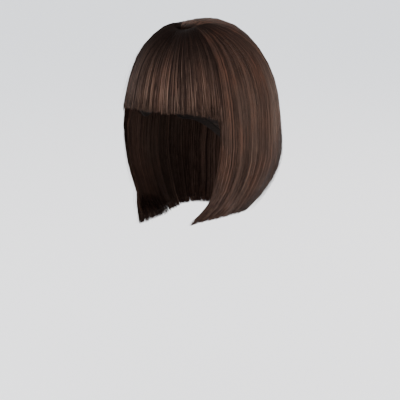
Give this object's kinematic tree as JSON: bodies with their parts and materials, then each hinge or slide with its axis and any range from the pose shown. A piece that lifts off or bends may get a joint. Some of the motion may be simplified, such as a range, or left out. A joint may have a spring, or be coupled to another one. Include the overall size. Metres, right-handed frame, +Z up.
{
  "type": "bob wig",
  "caption": "Straight chin-length bob wig with a full fringe on a stretch net cap with an elastic edge.",
  "frame": {"origin": "middle of the head at the height of the brow, inside the opening that the head goes into", "axes": "+Z up to the crown, -Y the way the wearer looks, +X to the wearer's left"},
  "size_m": [0.2019, 0.2328, 0.2808],
  "materials": {
    "hair": "satin",
    "cap_net": "matte",
    "elastic": "matte",
    "skin_net": "matte"
  },
  "bodies": {
    "root": {"cap_net": "cap_net", "cap_edge_band": "elastic", "crown_patch": "skin_net", "fringe": "hair", "left_side_hair": "hair", "right_side_hair": "hair", "back_hair": "hair"}
  },
  "joints": []
}
